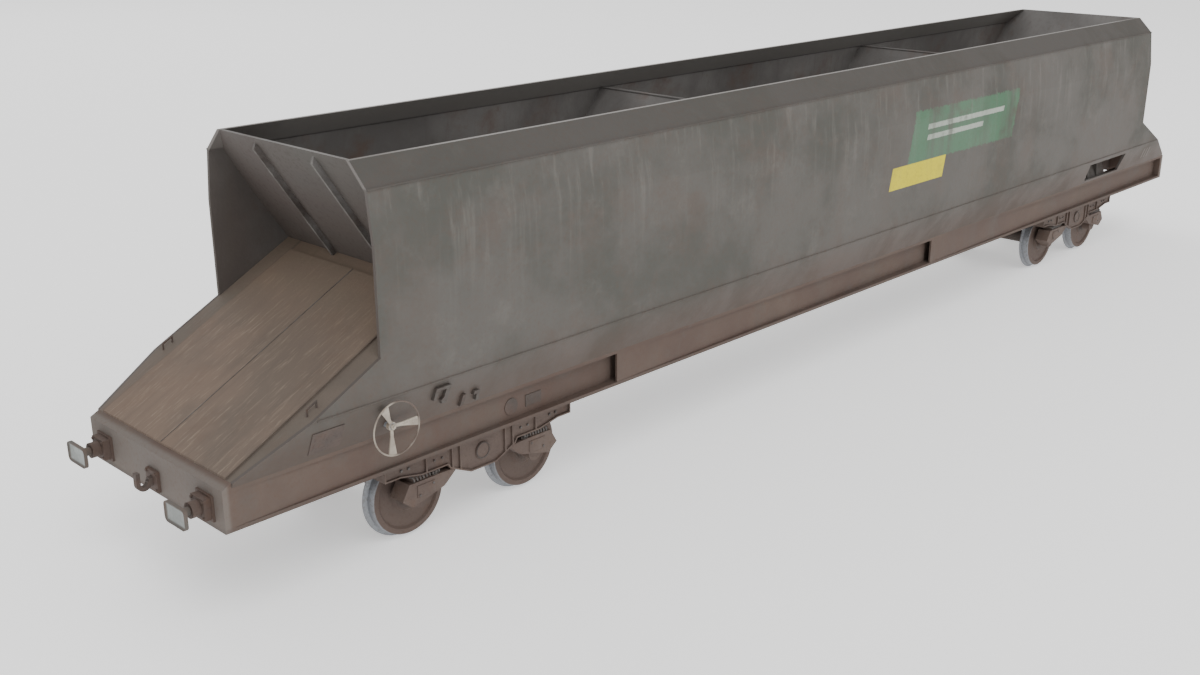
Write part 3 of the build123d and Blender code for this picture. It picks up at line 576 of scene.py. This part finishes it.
def deck_material():
    """End decks: worn plate with scuffs drawn out along the wagon."""
    material, s, where, _ = start_material("deck_plate")
    if s is None:
        return material
    place = s.split(where)
    grime = s.group(grime_group(), Vector=where, Patch_Scale=30.0, Speckle_Scale=1200.0)
    scuffs = s.group(streak_group(), Vector=where, Stretch=(0.12, 1.0, 0.12), Scale=420.0)
    olive = s.mix(0.5, pick("side_green"), pick("side_brown"))
    base = s.mix(s.times(grime["Patches"], 0.45), pick("deck"), olive)
    strip = s.ramp(
        s.math("ABSOLUTE", place["Y"]), DECK_PLATE_EDGE - 0.0001, DECK_PLATE_EDGE + 0.0001
    )
    upper = s.ramp(place["Z"], 0.062, 0.044, 0.15, 1.0)
    worn = s.times(s.math("SUBTRACT", 1.0, strip), upper)
    base = s.mix(s.times(s.times(scuffs["Thin"], worn), 0.7), base, pick("deck_pale"))
    lines = s.times(s.times(scuffs["Broad"], worn), 0.2)
    base = s.mix(lines, base, pick("bogie_dark"))
    strip_paint = s.mix(grime["Patches"], pick("side"), pick("side_green"))
    base = s.mix(s.times(strip, 0.45), base, strip_paint)
    base = s.mix(s.times(grime["Blotches"], 0.16), base, pick("rust"))
    high = s.times(s.ramp(place["Z"], 0.046, 0.060), 0.45)
    base = s.mix(high, base, pick("deck_pale"))
    from_edge = s.math("SUBTRACT", s.math("ABSOLUTE", place["Y"]), DECK_PLATE_EDGE)
    edge = s.ramp(s.math("ABSOLUTE", from_edge), 0.0007, 0.0001)
    base = s.mix(s.times(edge, 0.35), base, pick("bogie_dark"))
    height = s.math("ADD", grime["Height"], s.times(scuffs["Thin"], 0.8))
    end_material(s, base, s.ramp(scuffs["Thin"], 0.0, 1.0, 0.78, 0.62), height, bump=0.45)
    return material


def worn_material(name, first, second, patch=60.0, rust=0.25, bump=0.35):
    """Plain weathered paint: two tones, rust blotches and fine pitting."""
    material, s, where, _ = start_material(name)
    if s is None:
        return material
    grime = s.group(grime_group(), Vector=where, Patch_Scale=patch, Speckle_Scale=1400.0)
    base = s.mix(grime["Patches"], pick(first), pick(second))
    base = s.mix(s.times(grime["Blotches"], rust), base, pick("rust"))
    base = s.mix(s.times(grime["Speckle"], 0.2), base, pick("bogie_dark"))
    rough = s.ramp(grime["Speckle"], 0.0, 1.0, 0.68, 0.9)
    end_material(s, base, rough, grime["Height"], bump=bump)
    return material


def sill_material():
    """Sills and headstocks: rust-stained paint with a darker lower lip."""
    material, s, where, _ = start_material("sill_paint")
    if s is None:
        return material
    place = s.split(where)
    grime = s.group(grime_group(), Vector=where, Patch_Scale=42.0, Speckle_Scale=1300.0)
    runs = s.group(streak_group(), Vector=where, Stretch=(1.0, 1.0, 0.12), Scale=120.0)
    base = s.mix(grime["Patches"], pick("sill"), pick("sill_dust"))
    base = s.mix(s.times(runs["Broad"], 0.4), base, pick("side_brown"))
    base = s.mix(s.times(grime["Blotches"], 0.3), base, pick("side"))
    # Paler towards the outer ends of the headstocks.
    paler_ends = s.ramp(s.math("ABSOLUTE", place["X"]), 0.2140, 0.2150, 0.0, 0.45)
    base = s.mix(paler_ends, base, pick("run_off"))
    lip = s.times(s.ramp(place["Z"], 0.0234, 0.0226), 0.35)
    base = s.mix(lip, base, pick("bogie_dark"))
    base = s.mix(s.times(grime["Speckle"], 0.22), base, pick("rust"))
    rough = s.ramp(grime["Patches"], 0.0, 1.0, 0.68, 0.85)
    end_material(s, base, rough, grime["Height"], bump=0.35)
    return material


def reach_from(s, where, centre_x, centre_z):
    """Distance from an axis that runs across the wagon."""
    from_axis = s.shift(where, (-centre_x, 0, -centre_z))
    place = s.split(from_axis)
    across = s.math("POWER", place["X"], 2.0)
    up = s.math("POWER", place["Z"], 2.0)
    return s.math("SQRT", s.math("ADD", across, up))


def wheel_material(name, centre_x, centre_z):
    """Brown wheel faces and a worn steel tread, told apart by distance from the axle."""
    material, s, where, _ = start_material(name)
    if s is None:
        return material
    reach = reach_from(s, where, centre_x, centre_z)
    grime = s.group(grime_group(), Vector=where, Patch_Scale=90.0, Speckle_Scale=1500.0)
    base = s.mix(grime["Patches"], pick("disc"), pick("bogie"))
    hub = s.ramp(reach, 0.0042, 0.0026)
    base = s.mix(s.times(hub, 0.5), base, pick("bogie_dark"))
    base = s.mix(s.times(grime["Blotches"], 0.3), base, pick("rust"))
    steel = s.ramp(reach, 0.00935, 0.00955)
    bright = s.mix(grime["Speckle"], pick("tread"), s.mix(0.5, pick("tread"), pick("disc")))
    base = s.mix(s.times(steel, 0.92), base, bright)
    rough = s.mix(steel, s.ramp(grime["Speckle"], 0.0, 1.0, 0.65, 0.85), (0.42, 0.42, 0.42))
    metal = s.times(steel, 0.55)
    end_material(s, base, rough, grime["Height"], bump=0.25, metallic=metal)
    return material


def buffer_material():
    """Buffers: brown stems, rubbed pale faces."""
    material, s, where, _ = start_material("buffer_paint")
    if s is None:
        return material
    place = s.split(where)
    grime = s.group(grime_group(), Vector=where, Patch_Scale=140.0, Speckle_Scale=1800.0)
    face = s.ramp(place["X"], -0.22175, -0.22205)
    across = s.math("SUBTRACT", s.math("ABSOLUTE", place["Y"]), BUFFER_Y)
    up = s.math("SUBTRACT", place["Z"], BUFFER_Z)
    rubbed = s.times(
        s.ramp(s.math("ABSOLUTE", across), 0.0034, 0.0028),
        s.ramp(s.math("ABSOLUTE", up), 0.0019, 0.0014),
    )
    patchy = s.ramp(grime["Patches"], 0.0, 1.0, 0.65, 1.0)
    rubbed = s.times(s.times(rubbed, face), patchy)
    base = s.mix(grime["Patches"], pick("side"), pick("sill_dust"))
    base = s.mix(rubbed, base, pick("buffer_face"))
    base = s.mix(s.times(grime["Speckle"], 0.2), base, pick("bogie_dark"))
    end_material(s, base, s.ramp(rubbed, 0.0, 1.0, 0.72, 0.45), grime["Height"], bump=0.25)
    return material


def cream_material(centre_x, centre_z):
    """Handwheels: cream spokes, and a rim worn brown in patches."""
    material, s, where, _ = start_material("handwheel_paint")
    if s is None:
        return material
    grime = s.group(grime_group(), Vector=where, Patch_Scale=180.0, Speckle_Scale=2200.0)
    base = s.mix(s.times(grime["Patches"], 0.5), pick("cream"), pick("sill_dust"))
    worn = s.ramp(s.noise(where, 110.0, 2.0), 0.44, 0.58, 0.15, 0.9)
    rim = s.ramp(reach_from(s, where, centre_x, centre_z), 0.0053, 0.0055)
    base = s.mix(s.times(rim, worn), base, pick("bogie"))
    base = s.mix(s.times(grime["Blotches"], 0.6), base, pick("rust"))
    rough = s.ramp(grime["Speckle"], 0.0, 1.0, 0.5, 0.75)
    end_material(s, base, rough, grime["Height"], bump=0.3)
    return material


# ---------------------------------------------------------------- operators

def settings():
    return bpy.context.scene.wagon_sizes


def uneven(bm, amount, scale):
    """Small seeded unevenness, as on a hand-laid weld."""
    noise.seed_set(WELD_SEED)
    for v in bm.verts:
        v.co += noise.noise_vector(v.co * scale) * amount


def long_bead(name, start, end, radius, material):
    """A weld bead along a straight seam."""
    bm = bmesh.new()
    rod(bm, start, end, radius, sides=8)
    along = (Vector(end) - Vector(start)).normalized()
    lengthwise = [
        e for e in bm.edges
        if abs((e.verts[0].co - e.verts[1].co).normalized().dot(along)) > 0.99
    ]
    bmesh.ops.subdivide_edges(bm, edges=lengthwise, cuts=150, use_grid_fill=False)
    uneven(bm, radius * 0.35, 900.0)
    return new_piece(name, bm, [material], ROOT)


class WAGON_OT_side_sheets(bpy.types.Operator):
    """Paint the hopper sides and lay their long weld beads"""

    bl_idname = "wagon.side_sheets"
    bl_label = "Hopper Sides"

    def execute(self, context):
        paint = side_material()
        radius = settings().seam
        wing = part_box("end_sheet_far")[1].x
        for word, side in SIDES.items():
            paint_node(f"side_sheet_{word}", paint)
            for seam, y, z, reach in (
                ("kink", side * KINK_Y, KINK_Z, wing), ("fold", side * FOLD_Y, FOLD_Z, FOLD_REACH)
            ):
                start, end = (-reach, y, z), (reach, y, z)
                long_bead(f"{seam}_weld_{word}", start, end, radius, paint)
        return {"FINISHED"}


class WAGON_OT_hopper_inside(bpy.types.Operator):
    """Finish the end sheets, their ribs, the ridges, chutes and doors"""

    bl_idname = "wagon.hopper_inside"
    bl_label = "Hopper Inside"

    def execute(self, context):
        plate = inside_material()
        ends = end_sheet_material()
        ribs = worn_material("rib_plate", "inside_dust", "bogie_dark", patch=80.0)
        for word in ENDS:
            paint_node(f"end_sheet_{word}", ends)
            paint_node(f"ridge_{word}", plate)
        paint_node("end_ribs", ribs)
        for word in BAYS:
            paint_node(f"chute_{word}", plate)
            for side in SIDES:
                paint_node(f"door_{word}_{side}", plate)
        sink = 0.0001
        gap = 0.001
        for word in ENDS:
            low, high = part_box(f"ridge_{word}")
            bm = bmesh.new()
            x = (low.x + high.x) / 2
            z = high.z - sink
            rod(bm, (x, low.y + gap, z), (x, high.y - gap, z), settings().cap, sides=10)
            new_piece(f"ridge_cap_{word}", bm, [plate], ROOT)
        return {"FINISHED"}


class WAGON_OT_decks(bpy.types.Operator):
    """Finish the sloping end decks and their middle seam"""

    bl_idname = "wagon.decks"
    bl_label = "End Decks"

    def execute(self, context):
        plate = deck_material()
        paint_node("deck_plates", plate)
        low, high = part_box("deck_plates")
        dark = worn_material("seam_dirt", "bogie_dark", "inside", patch=200.0)
        plate_thickness = 0.00045
        seam_radius = 0.00012
        for word, end in ENDS.items():
            paint_node(f"end_deck_{word}", plate)
            front = (end * high.x, 0.0, low.z + plate_thickness)
            back = (end * DECK_TOP_X, 0.0, high.z)
            long_bead(f"deck_seam_{word}", front, back, seam_radius, dark)
        return {"FINISHED"}


class WAGON_OT_underframe(bpy.types.Operator):
    """Paint the headstocks, sills, bolsters and the parts fixed to them"""

    bl_idname = "wagon.underframe"
    bl_label = "Underframe"

    def execute(self, context):
        sill = sill_material()
        under = worn_material("under_paint", "bogie", "bogie_dark", patch=50.0)
        for word in ENDS:
            paint_node(f"headstock_{word}", sill)
        for word in SIDES:
            paint_node(f"solebar_{word}", sill)
            paint_node(f"sill_panels_{word}", sill)
        for node in ("stub_sills", "body_bolsters"):
            paint_node(node, under)
        brown = worn_material("housing_paint", "bogie", "sill", patch=120.0, rust=0.4)
        for node in ("buffer_housings", "drawhook_plate", "drawbar_pocket", "end_bolts"):
            paint_node(node, brown)
        return {"FINISHED"}


class WAGON_OT_buffers(bpy.types.Operator):
    """Make the domed buffers and finish their pads"""

    bl_idname = "wagon.buffers"
    bl_label = "Buffers"

    def execute(self, context):
        paint = buffer_material()
        black = worn_material("pad_rubber", "bogie_dark", "inside", patch=200.0, rust=0.0)
        paint_node("buffer_rubbers", black)
        head_depth = 0.0008
        corner = 0.0010
        stem = 0.0009
        stem_root = 0.0015
        root_depth = 0.0006
        flange = 0.0012
        flange_depth = 0.0005
        sink = 0.0001
        for word in SIDES:
            node = f"buffer_{word}"
            low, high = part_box(node)
            middle = (low + high) / 2
            bm = bmesh.new()
            block(bm, low, (low.x + head_depth, high.y, high.z))
            corners = [
                e for e in bm.edges if abs(e.verts[0].co.x - e.verts[1].co.x) > head_depth / 2
            ]
            bmesh.ops.bevel(
                bm, geom=corners, offset=corner, segments=5, profile=0.5, affect="EDGES",
                material=-1,
            )
            # Each step of the dome sets a ring of the face back from the middle.
            face = min(bm.faces, key=lambda f: f.calc_center_median().x)
            for width, drop in ((0.0005, 0.00028), (0.0004, 0.00008)):
                outer_ring = list(face.verts)
                bmesh.ops.inset_region(bm, faces=[face], thickness=width, depth=0.0)
                bmesh.ops.translate(bm, vec=(drop, 0, 0), verts=outer_ring)
            inner_end = (high.x, middle.y, middle.z)
            behind_head = (low.x + head_depth - sink, middle.y, middle.z)
            flange_front = (high.x - flange_depth, middle.y, middle.z)
            root_end = (low.x + head_depth + root_depth, middle.y, middle.z)
            rod(bm, inner_end, behind_head, stem, sides=24)
            rod(bm, inner_end, flange_front, flange, sides=24)
            rod(bm, root_end, behind_head, stem, sides=24, tip=stem_root)
            piece = new_piece(f"buffer_head_{word}", bm, [paint], node)
            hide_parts(node)
        return {"FINISHED"}


class WAGON_OT_couplings(bpy.types.Operator):
    """Finish the drawhook and the bar coupling"""

    bl_idname = "wagon.couplings"
    bl_label = "Couplings"

    def execute(self, context):
        brown = worn_material("coupling_iron", "bogie", "bogie_dark", patch=160.0, rust=0.5)
        for node in ("drawhook", "drawhook_nut", "drawbar", "drawbar_pin"):
            paint_node(node, brown)
        return {"FINISHED"}


class WAGON_OT_handbrake(bpy.types.Operator):
    """Paint the handwheels and add the nuts that hold them"""

    bl_idname = "wagon.handbrake"
    bl_label = "Handbrake"

    def execute(self, context):
        low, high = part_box("brake_cross_shaft")
        middle = (low + high) / 2
        cream = cream_material(middle.x, middle.z)
        shaft_steel = worn_material("shaft_steel", "bogie", "tread", patch=150.0)
        paint_node("brake_cross_shaft", shaft_steel)
        nut_radius = 0.00062
        stud_radius = 0.0003
        x, z = middle.x, middle.z
        for word, side in SIDES.items():
            paint_node(f"brake_wheel_{word}", cream)
            y = side * high.y
            bm = bmesh.new()
            rod(bm, (x, y - side * 0.0001, z), (x, y + side * 0.0005, z), nut_radius, sides=6)
            rod(bm, (x, y + side * 0.0004, z), (x, y + side * 0.0008, z), stud_radius, sides=12)
            new_piece(
                f"handwheel_nut_{word}", bm, [cream], "handbrake", smooth=False
            )
        return {"FINISHED"}


def bolt_head(bm, x, y, z, side, height, radius):
    """A hexagonal bolt head that stands out from a side face."""
    rod(bm, (x, y, z), (x, y + side * height, z), radius, sides=6)


def frame_bolts(bm, centre, lengthways, side):
    """The bolt heads on one half of a bogie's side frame."""
    for x, z, share in FRAME_BOLT_PLACES:
        spot = centre + lengthways * x
        radius = share * settings().bolt
        bolt_head(bm, spot, side * FRAME_FACE_Y, z, side, 0.00033, radius)


def box_cover(covers, bolts, centre, lengthways, side):
    """The cover on one axlebox, and its two bolts."""
    half_width = 0.0025
    low_z, high_z = 0.0119, 0.0147
    proud = 0.0003
    x = centre + lengthways * (AXLE_X - 0.0008)
    low_corner = (x - half_width, side * BOX_FACE_Y, low_z)
    high_corner = (x + half_width, side * (BOX_FACE_Y + proud), high_z)
    block(covers, low_corner, high_corner, bevel=0.00012)
    for from_middle, z in COVER_BOLT_PLACES:
        spot = x - lengthways * from_middle
        bolt_head(bolts, spot, side * COVER_FACE_Y, z, side, 0.0003, 0.8 * settings().bolt)


def box_link(bm, centre, lengthways, side):
    """The wire link that crosses the gap over one axlebox."""
    y = side * LINK_Y
    start = (centre + lengthways * (AXLE_X + 0.0026), y, 0.01615)
    stop = (centre + lengthways * (AXLE_X - 0.0052), y, 0.01655)
    coil(bm, start, stop, 0.00062, settings().link, turns=9)


def boss_ring(bm, centre, side):
    """The ring round the boss in the middle of a side frame."""
    y = side * (FRAME_FACE_Y + 0.00027)
    ring(bm, (centre, y, 0.0171), (0, 1, 0), 0.00185, 0.00015)


class WAGON_OT_bogies(bpy.types.Operator):
    """Finish the bogies and add their bolts, rings, box covers and links"""

    bl_idname = "wagon.bogies"
    bl_label = "Bogies"

    def execute(self, context):
        paint = worn_material("bogie_paint", "bogie", "sill_dust", patch=75.0, rust=0.3, bump=0.45)
        dark = worn_material("spring_steel", "bogie_dark", "inside", patch=150.0, rust=0.3)
        for word in ENDS:
            body = f"bogie_{word}"
            paint_node(f"{body}_frame", paint)
            paint_node(f"{body}_axleboxes", paint)
            paint_node(f"{body}_springs", dark)
            low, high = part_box(f"{body}_frame")
            centre = (low.x + high.x) / 2
            bolts = bmesh.new()
            rings = bmesh.new()
            covers = bmesh.new()
            links = bmesh.new()
            for side in SIDES.values():
                for lengthways in (-1, 1):
                    frame_bolts(bolts, centre, lengthways, side)
                    box_cover(covers, bolts, centre, lengthways, side)
                    box_link(links, centre, lengthways, side)
                boss_ring(rings, centre, side)
            new_piece(f"{body}_bolts", bolts, [dark], body, smooth=False)
            new_piece(f"{body}_boss_rings", rings, [dark], body)
            new_piece(f"{body}_box_covers", covers, [paint], body)
            new_piece(f"{body}_links", links, [dark], body)
        return {"FINISHED"}


class WAGON_OT_wheelsets(bpy.types.Operator):
    """Finish the wheels and axles"""

    bl_idname = "wagon.wheelsets"
    bl_label = "Wheelsets"

    def execute(self, context):
        steel = worn_material("axle_steel", "bogie", "bogie_dark", patch=120.0)
        for word in ENDS:
            for axle in ("outer", "inner"):
                name = f"bogie_{word}_{axle}"
                low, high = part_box(f"{name}_wheels")
                middle = (low + high) / 2
                steel_faces = wheel_material(f"wheel_steel_{word}_{axle}", middle.x, middle.z)
                paint_node(f"{name}_wheels", steel_faces)
                paint_node(f"{name}_axle", steel)
        return {"FINISHED"}


class WAGON_OT_fittings(bpy.types.Operator):
    """Finish the small parts fixed to the body"""

    bl_idname = "wagon.fittings"
    bl_label = "Fittings"

    def execute(self, context):
        iron = worn_material("fitting_iron", "bogie_dark", "bogie", patch=160.0, rust=0.4)
        paint_node("grab_handles", iron)
        hook_iron = worn_material("hook_iron", "bogie_dark", "side", patch=160.0, rust=0.3)
        paint_node("tie_hooks", hook_iron)
        paint_node("door_pins", iron)
        paint_node("access_plates", worn_material("access_paint", "side", "bogie_dark"))
        label_paint = worn_material("label_paint", "bogie", "bogie_dark", patch=120.0)
        paint_node("label_plates", label_paint)
        return {"FINISHED"}


class WAGON_OT_stage(bpy.types.Operator):
    """Set the floor, the lights and the camera"""

    bl_idname = "wagon.stage"
    bl_label = "Studio"

    def execute(self, context):
        scene = context.scene
        material = bpy.data.materials.new("studio_floor")
        material.use_nodes = True
        floor_shader = material.node_tree.nodes["Principled BSDF"]
        floor_shader.inputs["Base Color"].default_value = (*pick("floor"), 1.0)
        floor_shader.inputs["Roughness"].default_value = 0.9
        floor_shader.inputs["Emission Color"].default_value = (1.0, 1.0, 1.0, 1.0)
        floor_shader.inputs["Emission Strength"].default_value = FLOOR_GLOW
        bm = bmesh.new()
        bmesh.ops.create_grid(bm, x_segments=1, y_segments=1, size=FLOOR_SIZE)
        mesh = bpy.data.meshes.new("studio_floor")
        bm.to_mesh(mesh)
        bm.free()
        mesh.materials.append(material)
        floor = bpy.data.objects.new("studio_floor", mesh)
        scene.collection.objects.link(floor)

        world = bpy.data.worlds.new("studio")
        world.use_nodes = True
        background = world.node_tree.nodes["Background"]
        background.inputs["Color"].default_value = (1.0, 1.0, 1.0, 1.0)
        background.inputs["Strength"].default_value = WORLD_STRENGTH
        scene.world = world
        target = Vector(LIGHT_TARGET)
        for name, spot, size, power in LIGHTS:
            light = bpy.data.lights.new(name, "AREA")
            light.shape = "DISK"
            light.size = size
            light.energy = power
            lamp = bpy.data.objects.new(name, light)
            lamp.location = spot
            lamp.rotation_euler = (target - Vector(spot)).to_track_quat("-Z", "Y").to_euler()
            scene.collection.objects.link(lamp)

        level = math.cos(CAMERA_PITCH)
        look = Vector((
            level * math.cos(CAMERA_YAW), level * math.sin(CAMERA_YAW), math.sin(CAMERA_PITCH)
        ))
        data = bpy.data.cameras.new("camera")
        data.lens = CAMERA_LENS
        data.sensor_width = 36.0
        data.clip_start = 0.01
        data.clip_end = 30.0
        camera = bpy.data.objects.new("camera", data)
        camera.location = CAMERA_PLACE
        camera.rotation_euler = look.to_track_quat("-Z", "Y").to_euler()
        scene.collection.objects.link(camera)
        scene.camera = camera
        return {"FINISHED"}


STEPS = (
    WAGON_OT_side_sheets,
    WAGON_OT_hopper_inside,
    WAGON_OT_decks,
    WAGON_OT_underframe,
    WAGON_OT_buffers,
    WAGON_OT_couplings,
    WAGON_OT_handbrake,
    WAGON_OT_bogies,
    WAGON_OT_wheelsets,
    WAGON_OT_fittings,
    WAGON_OT_stage,
)


class WAGON_PT_panel(bpy.types.Panel):
    """Buttons for each group of pieces, with their sizes and colours"""

    bl_label = "Hopper Wagon"
    bl_idname = "WAGON_PT_panel"
    bl_space_type = "VIEW_3D"
    bl_region_type = "UI"
    bl_category = "Hopper Wagon"

    def draw(self, context):
        layout = self.layout
        for step in STEPS:
            layout.operator(step.bl_idname)
        for group in (context.scene.wagon_sizes, context.scene.wagon_colours):
            for key in group.__annotations__:
                layout.prop(group, key)


CLASSES = (WagonColours, WagonSizes, *STEPS, WAGON_PT_panel)


def register():
    for cls in CLASSES:
        bpy.utils.register_class(cls)
    bpy.types.Scene.wagon_colours = bpy.props.PointerProperty(type=WagonColours)
    bpy.types.Scene.wagon_sizes = bpy.props.PointerProperty(type=WagonSizes)


def unregister():
    del bpy.types.Scene.wagon_sizes
    del bpy.types.Scene.wagon_colours
    for cls in reversed(CLASSES):
        bpy.utils.unregister_class(cls)


def main():
    register()
    for step in STEPS:
        family, name = step.bl_idname.split(".")
        getattr(getattr(bpy.ops, family), name)()
    bpy.context.view_layer.update()


if __name__ == "__main__":
    main()
